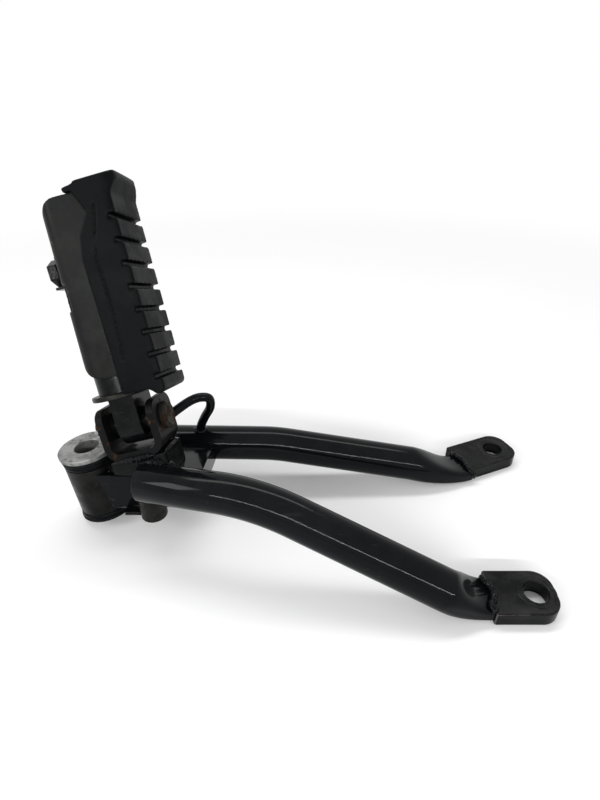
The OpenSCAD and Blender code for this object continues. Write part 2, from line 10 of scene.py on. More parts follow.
import bmesh
import bpy
from mathutils import Matrix, Vector, noise
from mathutils.bvhtree import BVHTree


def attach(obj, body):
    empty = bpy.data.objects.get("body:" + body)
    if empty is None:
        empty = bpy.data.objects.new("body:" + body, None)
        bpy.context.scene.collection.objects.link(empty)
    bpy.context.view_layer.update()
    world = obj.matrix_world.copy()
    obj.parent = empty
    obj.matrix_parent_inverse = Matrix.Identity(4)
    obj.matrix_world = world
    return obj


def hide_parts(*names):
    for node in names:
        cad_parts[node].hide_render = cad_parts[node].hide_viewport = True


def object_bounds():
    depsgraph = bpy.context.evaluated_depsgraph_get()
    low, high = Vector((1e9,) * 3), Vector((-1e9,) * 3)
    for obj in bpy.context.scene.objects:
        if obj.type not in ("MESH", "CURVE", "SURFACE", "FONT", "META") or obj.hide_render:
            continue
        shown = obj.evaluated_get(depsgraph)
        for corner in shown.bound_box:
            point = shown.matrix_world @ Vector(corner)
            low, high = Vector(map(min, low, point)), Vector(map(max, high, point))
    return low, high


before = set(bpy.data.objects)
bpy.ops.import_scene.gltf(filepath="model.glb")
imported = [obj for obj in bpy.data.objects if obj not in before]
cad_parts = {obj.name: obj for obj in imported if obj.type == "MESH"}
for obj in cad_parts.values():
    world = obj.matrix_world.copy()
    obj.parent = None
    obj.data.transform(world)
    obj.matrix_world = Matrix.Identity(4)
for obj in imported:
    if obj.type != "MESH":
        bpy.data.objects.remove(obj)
cad_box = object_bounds()
MM = 0.001

# %% [markdown]
# The clevis, the opened peg and the exhaust bush each lean in their own way.
# A matrix for each of them lets a piece be drawn straight and then be set in place, which is
# easier to read than world coordinates for every point.

# %% Leaning places
PIVOT = Vector((-183.5, 57.9, 59.1)) * MM
CLEVIS_LEAN = 14.5
CLEVIS_TILT = 19.0
PEG_SET = 3.5
BUSH_TOP = Vector((-212.0, 59.2, 42.69)) * MM
BUSH_LEAN = 6.7
BUSH_TILT = 3.6


def turned(origin, lean, tilt):
    """Matrix of a place that leans about Y and tilts about X."""
    lean_turn = Matrix.Rotation(math.radians(-lean), 4, "Y")
    tilt_turn = Matrix.Rotation(math.radians(-tilt), 4, "X")
    return Matrix.Translation(origin) @ lean_turn @ tilt_turn


AT_CLEVIS = turned(PIVOT, CLEVIS_LEAN, CLEVIS_TILT)
AT_PEG = turned(PIVOT, CLEVIS_LEAN, CLEVIS_TILT + PEG_SET)
AT_BUSH = turned(BUSH_TOP, BUSH_LEAN, BUSH_TILT)
print("peg points along", [round(v, 3) for v in AT_PEG.to_3x3() @ Vector((0, 0, 1))])

# %% [markdown]
# A shader needs many nodes, and writing out every link hides the idea.
# This small helper makes a node, fills its inputs by name and links whatever is a socket.

# %% Node helper


def add_node(tree, kind, inputs=None, **settings):
    """Makes a shader node. Input values that are sockets are linked, others are set."""
    made = tree.nodes.new(kind)
    for name, value in settings.items():
        setattr(made, name, value)
    for name, value in (inputs or {}).items():
        socket = made.inputs[name]
        if isinstance(value, bpy.types.NodeSocket):
            tree.links.new(value, socket)
        else:
            socket.default_value = value
    return made


def ramp(tree, factor, low, high, low_value=0.0, high_value=1.0):
    """A value that goes smoothly from one number to another between two levels."""
    made = add_node(
        tree,
        "ShaderNodeMapRange",
        {"Value": factor, "From Min": low, "From Max": high, "To Min": low_value, "To Max": high_value},
        interpolation_type="SMOOTHSTEP",
    )
    return made.outputs["Result"]


def blend_colour(tree, factor, first, second):
    """Mixes two colours by a mask."""
    made = add_node(tree, "ShaderNodeMix", data_type="RGBA")
    colour_inputs = [s for s in made.inputs if s.type == "RGBA"]
    for socket, value in zip([made.inputs[0]] + colour_inputs, (factor, first, second)):
        if isinstance(value, bpy.types.NodeSocket):
            tree.links.new(value, socket)
        elif socket.type == "RGBA":
            socket.default_value = (*value, 1.0)
        else:
            socket.default_value = value
    return [s for s in made.outputs if s.type == "RGBA"][0]


def combine(tree, operation, first, second):
    """Arithmetic on two values."""
    return add_node(tree, "ShaderNodeMath", {0: first, 1: second}, operation=operation).outputs[0]


print("helpers ready")

# %% [markdown]
# Every finish on this part is used: paint is rubbed, steel is stained, rubber is dusty.
# Effects that several finishes share are node groups with named inputs, built once.
# A group gives out masks and heights only. The shader itself stays in each material.

# %% Shared effects


def new_group(name, inputs, outputs):
    """An empty node group with float inputs and outputs."""
    group = bpy.data.node_groups.new(name, "ShaderNodeTree")
    for label, default in inputs.items():
        socket = group.interface.new_socket(label, in_out="INPUT", socket_type="NodeSocketFloat")
        socket.default_value = default
    for label in outputs:
        group.interface.new_socket(label, in_out="OUTPUT", socket_type="NodeSocketFloat")
    return group, group.nodes.new("NodeGroupInput"), group.nodes.new("NodeGroupOutput")


def object_point(tree):
    """The place on the object, in metres."""
    return add_node(tree, "ShaderNodeTexCoord").outputs["Object"]


def make_blotches():
    """Soft clouds with finer clouds inside them."""
    group, ins, outs = new_group("blotches", {"Scale": 60.0, "Low": 0.4, "High": 0.6}, ["Mask"])
    cloud = add_node(
        group,
        "ShaderNodeTexNoise",
        {"Vector": object_point(group), "Scale": ins.outputs["Scale"], "Detail": 6.0, "Roughness": 0.62},
    )
    mask = ramp(group, cloud.outputs[0], ins.outputs["Low"], ins.outputs["High"])
    group.links.new(mask, outs.inputs["Mask"])
    return group


def make_scratches():
    """Thin broken lines that run mostly one way, as from sliding in a box of parts."""
    group, ins, outs = new_group("scratches", {"Scale": 90.0, "Amount": 0.5}, ["Mask"])
    stretch = add_node(
        group,
        "ShaderNodeMapping",
        {"Vector": object_point(group), "Rotation": (0.3, 0.5, 0.9), "Scale": (1.0, 9.0, 5.0)},
    )
    lines = add_node(
        group,
        "ShaderNodeTexNoise",
        {"Vector": stretch.outputs[0], "Scale": ins.outputs["Scale"], "Detail": 3.0, "Distortion": 0.4},
    )
    thin = ramp(group, lines.outputs[0], 0.66, 0.74)
    scaled = combine(group, "MULTIPLY", thin, ins.outputs["Amount"])
    group.links.new(scaled, outs.inputs["Mask"])
    return group


def make_edge_wear():
    """Marks the outer edges, broken up so that the wear isn't even."""
    group, ins, outs = new_group(
        "edge_wear", {"Scale": 160.0, "Start": 0.53, "End": 0.6}, ["Mask"]
    )
    point = add_node(group, "ShaderNodeNewGeometry").outputs["Pointiness"]
    rough = add_node(
        group,
        "ShaderNodeTexNoise",
        {"Vector": object_point(group), "Scale": ins.outputs["Scale"], "Detail": 4.0},
    )
    shaken = combine(group, "MULTIPLY", rough.outputs[0], 0.12)
    sum_value = combine(group, "ADD", point, shaken)
    lowered = combine(group, "SUBTRACT", sum_value, 0.06)
    mask = ramp(group, lowered, ins.outputs["Start"], ins.outputs["End"])
    group.links.new(mask, outs.inputs["Mask"])
    return group


def make_dust():
    """Dust that lies on upward faces, in patches."""
    group, ins, outs = new_group("dust", {"Scale": 45.0, "Amount": 0.4}, ["Mask"])
    normal = add_node(group, "ShaderNodeNewGeometry").outputs["Normal"]
    height = add_node(group, "ShaderNodeSeparateXYZ", {"Vector": normal}).outputs["Z"]
    up = ramp(group, height, 0.1, 0.95)
    patch = add_node(
        group,
        "ShaderNodeTexNoise",
        {"Vector": object_point(group), "Scale": ins.outputs["Scale"], "Detail": 8.0, "Roughness": 0.7},
    )
    patchy = ramp(group, patch.outputs[0], 0.42, 0.68)
    both = combine(group, "MULTIPLY", up, patchy)
    scaled = combine(group, "MULTIPLY", both, ins.outputs["Amount"])
    group.links.new(scaled, outs.inputs["Mask"])
    return group


def make_grain():
    """Height of a fine even grain with a coarser waviness under it."""
    group, ins, outs = new_group("grain", {"Fine": 2500.0, "Coarse": 120.0, "Wave": 0.3}, ["Height"])
    point = object_point(group)
    fine = add_node(
        group, "ShaderNodeTexNoise", {"Vector": point, "Scale": ins.outputs["Fine"], "Detail": 2.0}
    )
    coarse = add_node(
        group, "ShaderNodeTexNoise", {"Vector": point, "Scale": ins.outputs["Coarse"], "Detail": 2.0}
    )
    wave = combine(group, "MULTIPLY", coarse.outputs[0], ins.outputs["Wave"])
    total = combine(group, "ADD", fine.outputs[0], wave)
    group.links.new(total, outs.inputs["Height"])
    return group


EFFECTS = {
    "blotches": make_blotches(),
    "scratches": make_scratches(),
    "edge_wear": make_edge_wear(),
    "dust": make_dust(),
    "grain": make_grain(),
}


def effect(tree, name, **values):
    """Places a shared effect in a material and gives back its output."""
    made = tree.nodes.new("ShaderNodeGroup")
    made.node_tree = EFFECTS[name]
    for label, value in values.items():
        made.inputs[label].default_value = value
    return made.outputs[0]


print("shared effects:", sorted(EFFECTS))

# %% [markdown]
# Each material starts from the same bones: a Principled shader, a Bump node for the grain and
# an output. What makes a finish is how colour and roughness change over it.

# %% Material bones


def new_material(name, bump_height, bump_distance, **constants):
    """A material with a Principled shader whose grain comes from a node group."""
    material = bpy.data.materials.new(name)
    material.use_nodes = True
    tree = material.node_tree
    tree.nodes.clear()
    shader = tree.nodes.new("ShaderNodeBsdfPrincipled")
    output = tree.nodes.new("ShaderNodeOutputMaterial")
    tree.links.new(shader.outputs[0], output.inputs[0])
    for label, value in constants.items():
        shader.inputs[label.replace("_", " ")].default_value = value
    height = effect(tree, "grain", **bump_height)
    bump = add_node(tree, "ShaderNodeBump", {"Height": height, "Strength": 0.6, "Distance": bump_distance})
    tree.links.new(bump.outputs[0], shader.inputs["Normal"])
    return material, tree, shader


def finish_with(tree, shader, colour, roughness, metallic=None):
    """Feeds the varying colour, roughness and metal mask into the shader."""
    tree.links.new(colour, shader.inputs["Base Color"])
    tree.links.new(roughness, shader.inputs["Roughness"])
    if metallic is not None:
        tree.links.new(metallic, shader.inputs["Metallic"])


MATERIALS = {}
print("bones ready")

# %% [markdown]
# The tubes, the rod, the beads and the flat plates have thick gloss black paint. It is nearly a
# mirror, a little wavy, with thin rub marks, a trace of dust and a few chips to grey metal on
# its edges. A low IOR keeps it black where it is seen at a slant against a white room.

# %% Gloss black paint


def make_gloss_black():
    material, tree, shader = new_material(
        "gloss_black_paint", {"Fine": 1400.0, "Coarse": 220.0, "Wave": 2.5}, 0.000012,
        IOR=1.15, Specular_IOR_Level=0.8,
    )
    scratch = effect(tree, "scratches", Scale=70.0, Amount=0.4)
    chips = effect(tree, "edge_wear", Scale=420.0, Start=0.62, End=0.66)
    dust = effect(tree, "dust", Scale=60.0, Amount=0.22)
    tone = effect(tree, "blotches", Scale=26.0, Low=0.3, High=0.7)
    black = blend_colour(tree, tone, (0.0016, 0.002, 0.0026), (0.0032, 0.004, 0.005))
    rubbed = blend_colour(tree, scratch, black, (0.014, 0.015, 0.016))
    dusty = blend_colour(tree, dust, rubbed, (0.014, 0.0138, 0.013))
    chipped = blend_colour(tree, chips, dusty, (0.045, 0.042, 0.038))
    wet = ramp(tree, tone, 0.0, 1.0, 0.04, 0.08)
    matte = combine(tree, "ADD", wet, combine(tree, "MULTIPLY", dust, 0.5))
    rough = combine(tree, "ADD", matte, combine(tree, "MULTIPLY", scratch, 0.2))
    finish_with(tree, shader, chipped, rough)
    return material


MATERIALS["gloss_black"] = make_gloss_black()
print("gloss black made")

# %% [markdown]
# The lugs, the saddle and the peg's small fastenings have thinner, duller paint than the tubes.
# The lugs were clamped under washers, so their faces are greyer and softly scuffed.

# %% Satin black paint


def make_satin_black():
    material, tree, shader = new_material(
        "satin_black_paint", {"Fine": 1100.0, "Coarse": 180.0, "Wave": 1.2}, 0.00003,
        IOR=1.2, Specular_IOR_Level=0.4,
    )
    scratch = effect(tree, "scratches", Scale=120.0, Amount=0.5)
    chips = effect(tree, "edge_wear", Scale=300.0, Start=0.58, End=0.63)
    dust = effect(tree, "dust", Scale=80.0, Amount=0.55)
    tone = effect(tree, "blotches", Scale=70.0, Low=0.35, High=0.65)
    black = blend_colour(tree, tone, (0.003, 0.0033, 0.0037), (0.007, 0.0073, 0.0077))
    rubbed = blend_colour(tree, scratch, black, (0.024, 0.025, 0.026))
    dusty = blend_colour(tree, dust, rubbed, (0.026, 0.0255, 0.0245))
    chipped = blend_colour(tree, chips, dusty, (0.07, 0.066, 0.061))
    rough = ramp(tree, tone, 0.0, 1.0, 0.14, 0.3)
    finish_with(tree, shader, chipped, rough)
    return material


MATERIALS["satin_black"] = make_satin_black()
print("satin black made")

# %% [markdown]
# The bush collar and the small washers are zinc plated. Plating dulls to a cloudy grey, and
# dirt fills it in spots. The same recipe, with darker colours, gives the stained bare steel of
# the neck ring and the boss, and the greasy sleeve of the bush.

# %% Zinc plating


def make_zinc(name, light, dark, stain, roughness):
    material, tree, shader = new_material(
        name, {"Fine": 1800.0, "Coarse": 400.0, "Wave": 0.8}, 0.00002, Specular_IOR_Level=0.2,
    )
    tone = effect(tree, "blotches", Scale=130.0, Low=0.36, High=0.64)
    spots = effect(tree, "blotches", Scale=420.0, Low=0.58, High=0.66)
    scratch = effect(tree, "scratches", Scale=150.0, Amount=0.5)
    plated = blend_colour(tree, tone, dark, light)
    marked = blend_colour(tree, scratch, plated, light)
    stained = blend_colour(tree, spots, marked, stain)
    metal = ramp(tree, spots, 0.0, 1.0, 0.75, 0.1)
    rough = ramp(tree, tone, 0.0, 1.0, roughness + 0.14, roughness)
    finish_with(tree, shader, stained, rough, metal)
    return material


MATERIALS["zinc"] = make_zinc(
    "collar_zinc", (0.3, 0.3, 0.295), (0.15, 0.15, 0.147), (0.035, 0.033, 0.028), 0.42
)
MATERIALS["core_steel"] = make_zinc(
    "core_steel", (0.018, 0.0185, 0.0155), (0.008, 0.0085, 0.007), (0.014, 0.008, 0.005), 0.4
)
MATERIALS["sleeve_steel"] = make_zinc(
    "sleeve_steel", (0.012, 0.0122, 0.0115), (0.0055, 0.0056, 0.0052), (0.003, 0.003, 0.003), 0.34
)
print("zinc finishes made")

# %% [markdown]
# The peg's knuckle was painted with the hanger, but the neck above its ring is bare and stained.
# A plane across the peg, at the ring, divides the two: the distance along the peg's axis is the
# dot product of a point with that axis.

# %% Peg core finish
RING_HEIGHT = 26.0 * MM


def make_peg_core():
    material, tree, shader = new_material(
        "peg_core_finish", {"Fine": 1600.0, "Coarse": 300.0, "Wave": 1.5}, 0.00003,
        IOR=1.2, Specular_IOR_Level=0.5,
    )
    axis = AT_PEG.to_3x3() @ Vector((0, 0, 1))
    along = add_node(
        tree, "ShaderNodeVectorMath", {0: object_point(tree), 1: tuple(axis)}, operation="DOT_PRODUCT"
    ).outputs["Value"]
    ring_at = PIVOT.dot(axis) + RING_HEIGHT
    above = ramp(tree, along, ring_at - 0.0004, ring_at + 0.0004)
    tone = effect(tree, "blotches", Scale=150.0, Low=0.36, High=0.64)
    scratch = effect(tree, "scratches", Scale=130.0, Amount=0.5)
    bare = blend_colour(tree, tone, (0.012, 0.0122, 0.01), (0.03, 0.0305, 0.025))
    paint = blend_colour(tree, tone, (0.0022, 0.0025, 0.0028), (0.0045, 0.0048, 0.0052))
    colour = blend_colour(tree, above, paint, bare)
    rubbed = blend_colour(tree, scratch, colour, (0.03, 0.03, 0.027))
    gloss = ramp(tree, above, 0.0, 1.0, 0.14, 0.36)
    rough = combine(tree, "ADD", gloss, combine(tree, "MULTIPLY", tone, 0.08))
    finish_with(tree, shader, rubbed, rough)
    return material


MATERIALS["peg_core"] = make_peg_core()
print("paint ends", round(RING_HEIGHT / MM, 1), "mm above the pivot")

# %% [markdown]
# The pivot pin and the clevis are where water stands, so they rust.
# Rust is layered: brown stain first, then brighter orange dust in its middle, both rough.

# %% Rusty steel


def make_rusty(name, sound, amount):
    material, tree, shader = new_material(
        name, {"Fine": 900.0, "Coarse": 300.0, "Wave": 2.0}, 0.00008, IOR=1.2, Specular_IOR_Level=0.3,
    )
    stain = effect(tree, "blotches", Scale=170.0, Low=0.62 - amount, High=0.7 - amount)
    bloom = effect(tree, "blotches", Scale=330.0, Low=0.56, High=0.68)
    tone = effect(tree, "blotches", Scale=60.0, Low=0.3, High=0.7)
    metal_colour = blend_colour(tree, tone, sound, tuple(v * 0.5 for v in sound))
    stained = blend_colour(tree, stain, metal_colour, (0.022, 0.013, 0.008))
    rusty = blend_colour(tree, combine(tree, "MULTIPLY", stain, bloom), stained, (0.07, 0.03, 0.012))
    rough = ramp(tree, stain, 0.0, 1.0, 0.38, 0.85)
    finish_with(tree, shader, rusty, rough)
    return material


MATERIALS["pin_steel"] = make_rusty("rusty_pin", (0.035, 0.034, 0.028), 0.16)
MATERIALS["rusty_clevis"] = make_rusty("rusty_clevis_paint", (0.0055, 0.0058, 0.0062), 0.05)
print("rusty steel made")

# %% [markdown]
# Rubber is black and dull, with a soft sheen where boots have polished it. Its grain is fine,
# dust stays in it, and its edges are paler where the skin has worn off.

# %% Rubber


def make_rubber():
    material, tree, shader = new_material(
        "moulded_rubber", {"Fine": 2600.0, "Coarse": 90.0, "Wave": 2.2}, 0.00005,
        IOR=1.2, Specular_IOR_Level=0.22,
    )
    tone = effect(tree, "blotches", Scale=48.0, Low=0.34, High=0.66)
    dust = effect(tree, "dust", Scale=120.0, Amount=0.35)
    worn = effect(tree, "edge_wear", Scale=220.0, Start=0.54, End=0.62)
    scratch = effect(tree, "scratches", Scale=110.0, Amount=0.35)
    black = blend_colour(tree, tone, (0.0015, 0.0018, 0.0022), (0.0034, 0.0039, 0.0045))
    marked = blend_colour(tree, scratch, black, (0.01, 0.011, 0.012))
    pale = blend_colour(tree, worn, marked, (0.013, 0.0135, 0.0145))
    dusty = blend_colour(tree, dust, pale, (0.011, 0.011, 0.0105))
    rough = ramp(tree, tone, 0.0, 1.0, 0.34, 0.52)
    finish_with(tree, shader, dusty, rough)
    return material


MATERIALS["rubber"] = make_rubber()
print("rubber made")

# %% [markdown]
# The shell under the peg is a smooth grey-black casting, blotchy with old polish and road dirt.
# It is a little greyer than the rubber beside it, so its colours are set above the rubber's.

# %% Cast shell


def make_cast_shell():
    material, tree, shader = new_material(
        "cast_shell", {"Fine": 1500.0, "Coarse": 110.0, "Wave": 1.8}, 0.00005,
        IOR=1.2, Specular_IOR_Level=0.42,
    )
    tone = effect(tree, "blotches", Scale=40.0, Low=0.3, High=0.7)
    dirt = effect(tree, "blotches", Scale=150.0, Low=0.5, High=0.72)
    worn = effect(tree, "edge_wear", Scale=180.0, Start=0.53, End=0.6)
    dust = effect(tree, "dust", Scale=90.0, Amount=0.5)
    grey = blend_colour(tree, tone, (0.0028, 0.0031, 0.0031), (0.0088, 0.0094, 0.009))
    dirty = blend_colour(tree, dirt, grey, (0.0095, 0.0088, 0.0072))
    bright = blend_colour(tree, worn, dirty, (0.032, 0.033, 0.034))
    dusty = blend_colour(tree, dust, bright, (0.045, 0.044, 0.041))
    rough = ramp(tree, tone, 0.0, 1.0, 0.3, 0.46)
    finish_with(tree, shader, dusty, rough)
    return material


MATERIALS["cast_shell"] = make_cast_shell()
print("materials:", sorted(MATERIALS))

# %% [markdown]
# Every piece needs the same three things: a mesh, a material and the body that it moves with.
# One function does them, so that no piece is forgotten.

# %% Placing a piece


def place(name, mesh, material, body, replaced=()):
    """Makes an object of a mesh that rides on a body and may stand for CAD nodes."""
    piece = bpy.data.objects.new(name, mesh)
    bpy.context.scene.collection.objects.link(piece)
    mesh.materials.clear()
    mesh.materials.append(MATERIALS[material])
    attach(piece, body)
    if replaced:
        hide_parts(*replaced)
    print(name, len(mesh.polygons), "faces")
    return piece


def smooth_by_angle(mesh, limit=35.0):
    """Shades a mesh smooth, but keeps the edges that turn more than the limit."""
    made = bmesh.new()
    made.from_mesh(mesh)
    for face in made.faces:
        face.smooth = True
    for edge in made.edges:
        edge.smooth = len(edge.link_faces) != 2 or edge.calc_face_angle() < math.radians(limit)
    made.to_mesh(mesh)
    made.free()


print("place ready")

# %% [markdown]
# Nothing made of steel plate has a perfectly sharp edge, and a painted edge is rounder still.
# The solid's mesh is copied, its flat faces are joined, and its sharp edges get a small round.
# The Weighted Normal modifier keeps the big faces flat in the light.

# %% Plates and turned parts with rounded edges


JOIN_DISTANCE = 0.002 * MM
FLAT_ANGLE = math.radians(0.8)
SHARP_ANGLE = math.radians(32)
ROUND_STEPS = 3


def rounded_copy(node, radius, material, body):
    """A copy of a CAD node with its sharp edges rounded."""
    made = bmesh.new()
    made.from_mesh(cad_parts[node].data)
    bmesh.ops.remove_doubles(made, verts=made.verts, dist=JOIN_DISTANCE)
    bmesh.ops.dissolve_limit(made, angle_limit=FLAT_ANGLE, verts=made.verts, edges=made.edges)
    paired = [e for e in made.edges if len(e.link_faces) == 2]
    sharp = [e for e in paired if e.calc_face_angle() > SHARP_ANGLE]
    bmesh.ops.bevel(
        made, geom=sharp, offset=radius, segments=ROUND_STEPS, profile=0.5,
        affect="EDGES", clamp_overlap=True,
    )
    bmesh.ops.remove_doubles(made, verts=made.verts, dist=JOIN_DISTANCE)
    bmesh.ops.triangulate(made, faces=[f for f in made.faces if len(f.verts) > 4])
    mesh = bpy.data.meshes.new(node + "_skin")
    made.to_mesh(mesh)
    made.free()
    smooth_by_angle(mesh, 40.0)
    piece = place(node + "_skin", mesh, material, body, [node])
    weighted = piece.modifiers.new("weighted", "WEIGHTED_NORMAL")
    weighted.keep_sharp = True
    return piece


BRACKET_PLATES = {
    "front_lug": (1.1, "satin_black", "gloss_black"),
    "rear_lug": (1.1, "satin_black", "gloss_black"),
    "clevis": (0.6, "rusty_clevis", "gloss_black"),
    "bridge_plate": (0.5, "gloss_black", "satin_black"),
    "saddle": (0.5, "satin_black", "satin_black"),
    "bush_web": (0.4, "gloss_black", "satin_black"),
    "bush_sleeve": (0.5, "sleeve_steel", "satin_black"),
    "under_boss": (0.6, "core_steel", "dull_zinc"),
    "steel_collar": (0.5, "zinc", "zinc"),
    "pivot_pin": (0.5, "pin_steel", "pin_steel"),
    "pin_washer": (0.2, "zinc", "zinc"),
    "split_pin": (0.3, "zinc", "zinc"),
}
PEG_PARTS = {
    "peg_core": (0.5, "peg_core", "core_steel"),
    "neck_ring": (0.5, "core_steel", "dull_zinc"),
    "tab_washer": (0.25, "satin_black", "satin_black"),
    "keep_screw": (0.9, "satin_black", "satin_black"),
}
for group_body, group_parts in (("bracket", BRACKET_PLATES), ("peg", PEG_PARTS)):
    for node, (radius, material, slot_name) in group_parts.items():
        rounded_copy(node, radius * MM, material, group_body)

# %% [markdown]
# A hanger tube is drawn as rings along its centreline: a first run, one round bend, a falling
# run, and an end that a press has squeezed flat for the lug. Rings that change shape step by
# step give the soft shoulders of pressed tube, which joined solids can't.

# %% Lofting rings


def loft(rings, close_start=True, close_end=True):
    """A mesh through rings of points, all with the same number of points."""
    made = bmesh.new()
    rows = [[made.verts.new(p) for p in ring] for ring in rings]
    count = len(rows[0])
    for row, following in zip(rows, rows[1:]):
        for i in range(count):
            k = (i + 1) % count
            made.faces.new((row[i], row[k], following[k], following[i]))
    if close_start:
        made.faces.new(rows[0])
    if close_end:
        made.faces.new(rows[-1])
    bmesh.ops.recalc_face_normals(made, faces=made.faces)
    return made


def oval(centre, side, up, half_width, half_height, power, count=64):
    """A ring round a centre that may be anything from a circle to a rounded box."""
    points = []
    for i in range(count):
        angle = 2 * math.pi * i / count
        c, s = math.cos(angle), math.sin(angle)
        x = math.copysign(abs(c) ** (2 / power), c) * half_width
        y = math.copysign(abs(s) ** (2 / power), s) * half_height
        points.append(centre + side * x + up * y)
    return points


def ease(t):
    """Goes from 0 to 1 with a soft start and end."""
    return t * t * (3 - 2 * t)


print("loft ready")

# %% [markdown]
# Both tubes use the same recipe with their own corner, heading, rise and fall. Their wall shows
# at the open end near the clevis, so the rings turn round there and go back inside.

# %% The two hanger tubes
TUBE_R = 9.5 * MM
TUBE_WALL = 2.0 * MM
BEND_R = 90.0 * MM
BEND_STEPS = 24
OPEN_DEPTH = 14.0 * MM
END_HEIGHT = 2.5 * MM
FLAT_HALF = Vector((9.6, 3.3)) * MM
FLAT_STEPS = 22
FALL_PULL = 0.5
LUG_TOP = 7.4


def tube_rings(corner, heading, rise, fall, run, flat_centre, flat_turn):
    """Rings of a tube from inside its open end to its flattened end."""
    head = Matrix.Rotation(math.radians(heading), 3, "Z")
    start_way = head @ Matrix.Rotation(math.radians(-rise), 3, "Y") @ Vector((1, 0, 0))
    end_way = head @ Matrix.Rotation(math.radians(fall), 3, "Y") @ Vector((1, 0, 0))
    side = head @ Vector((0, 1, 0))
    reach = BEND_R * math.tan(math.radians(rise + fall) / 2)
    length = (corner.z - TUBE_R - END_HEIGHT) / math.sin(math.radians(fall))
    open_end = corner - start_way * run
    up = side.cross(start_way) * -1
    inner = TUBE_R - TUBE_WALL
    rings = [oval(open_end + start_way * OPEN_DEPTH, side, up, inner, inner, 2)]
    rings.append(oval(open_end + start_way * 0.4 * MM, side, up, inner, inner, 2))
    rings.append(oval(open_end, side, up, inner + 0.4 * MM, inner + 0.4 * MM, 2))
    rings.append(oval(open_end, side, up, TUBE_R - 0.5 * MM, TUBE_R - 0.5 * MM, 2))
    rings.append(oval(open_end + start_way * 0.15 * MM, side, up, TUBE_R - 0.15 * MM, TUBE_R - 0.15 * MM, 2))
    rings.append(oval(open_end + start_way * 0.5 * MM, side, up, TUBE_R, TUBE_R, 2))
    bend_middle = corner - start_way * reach - up * BEND_R
    for i in range(BEND_STEPS + 1):
        angle = math.radians(rise + fall) * i / BEND_STEPS
        way = Matrix.Rotation(angle, 3, side)
        rings.append(oval(bend_middle + way @ (up * BEND_R), side, way @ up, TUBE_R, TUBE_R, 2))
    end_up = side.cross(end_way) * -1
    shoulder = corner + end_way * length
    flat_side = Matrix.Rotation(math.radians(flat_turn), 3, "Z") @ Vector((0, 1, 0))
    flat_way = Matrix.Rotation(math.radians(flat_turn), 3, "Z") @ Vector((1, 0, 0))
    pull = (flat_centre - shoulder).length
    for i in range(FLAT_STEPS + 1):
        t = i / FLAT_STEPS
        h0, h1 = 2 * t**3 - 3 * t**2 + 1, t**3 - 2 * t**2 + t
        h2, h3 = -2 * t**3 + 3 * t**2, t**3 - t**2
        middle = shoulder * h0 + end_way * pull * FALL_PULL * h1 + flat_centre * h2 + flat_way * pull * h3
        squeeze = ease(t)
        ring_side = side.lerp(flat_side, squeeze).normalized()
        ring_up = end_up.lerp(Vector((0, 0, 1)), squeeze).normalized()
        half_width = TUBE_R + (FLAT_HALF.x - TUBE_R) * squeeze
        half_height = TUBE_R + (FLAT_HALF.y - TUBE_R) * squeeze
        rings.append(oval(middle, ring_side, ring_up, half_width, half_height, 2 + 3 * squeeze))
    return rings


def make_tube(name, node, shape):
    made = loft(tube_rings(**shape))
    mesh = bpy.data.meshes.new(name)
    made.to_mesh(mesh)
    made.free()
    smooth_by_angle(mesh, 50.0)
    return place(name, mesh, "gloss_black", "bracket", [node])


REAR_HOLE = Vector((12.0, 102.0, 0.0)) * MM
REAR_TURN = 23.0
REAR_LUG_TURN = Matrix.Rotation(math.radians(REAR_TURN), 3, "Z")
FRONT_SHAPE = {
    "corner": Vector((-124.4, 21.4, 43.2)) * MM,
    "heading": -16.1,
    "rise": 4.5,
    "fall": 19.9,
    "run": 57.0 * MM,
    "flat_centre": Vector((-20.8, -0.9, LUG_TOP / 2)) * MM,
    "flat_turn": 0.0,
}
REAR_SHAPE = {
    "corner": Vector((-118.4, 84.9, 24.6)) * MM,
    "heading": -1.6,
    "rise": 0.0,
    "fall": 9.4,
    "run": 68.0 * MM,
    "flat_centre": REAR_HOLE + REAR_LUG_TURN @ (Vector((-24.8, -4.0, LUG_TOP / 2)) * MM),
    "flat_turn": REAR_TURN,
}
make_tube("front_tube_skin", "front_tube", FRONT_SHAPE)
make_tube("rear_tube_skin", "rear_tube", REAR_SHAPE)

# %% [markdown]
# The hook rod is bent cold from round bar, so its corners are soft. A smooth curve through the
# corner points, swept with a round section, gives that at once.

# %% Hook rod
ROD_R = 2.4 * MM
ROD_POINTS = [
    (-171.5, 67.4, 54.4), (-166.5, 72.5, 56.4), (-161.0, 77.1, 58.2), (-156.2, 79.0, 59.0),
    (-152.2, 80.6, 57.2), (-152.4, 81.9, 51.0), (-156.4, 83.4, 43.2), (-159.3, 84.8, 36.0),
    (-160.0, 86.0, 28.0),
]


def smooth_path(points, steps=10):
    """Catmull-Rom points through a list of corners, given in millimetres."""
    knots = [Vector(p) * MM for p in points]
    knots = [2 * knots[0] - knots[1]] + knots + [2 * knots[-1] - knots[-2]]
    path = []
    for a, b, c, d in zip(knots, knots[1:], knots[2:], knots[3:]):
        for i in range(steps):
            t = i / steps
            path.append(
                0.5 * (2 * b + (c - a) * t + (2 * a - 5 * b + 4 * c - d) * t * t
                       + (3 * b - a - 3 * c + d) * t**3)
            )
    path.append(knots[-2])
    return path


def sweep(path, radius_at, count=20):
    """Rings of a round section along a path. radius_at gives the radius at each step."""
    rings = []
    side = None
    for i, point in enumerate(path):
        way = (path[min(i + 1, len(path) - 1)] - path[max(i - 1, 0)]).normalized()
        guide = side if side else Vector((0.3, 0.2, 1.0))
        side = (guide - way * guide.dot(way)).normalized()
        radius = radius_at(i / (len(path) - 1), point)
        rings.append(oval(point, side, way.cross(side), radius, radius, 2, count))
    return rings


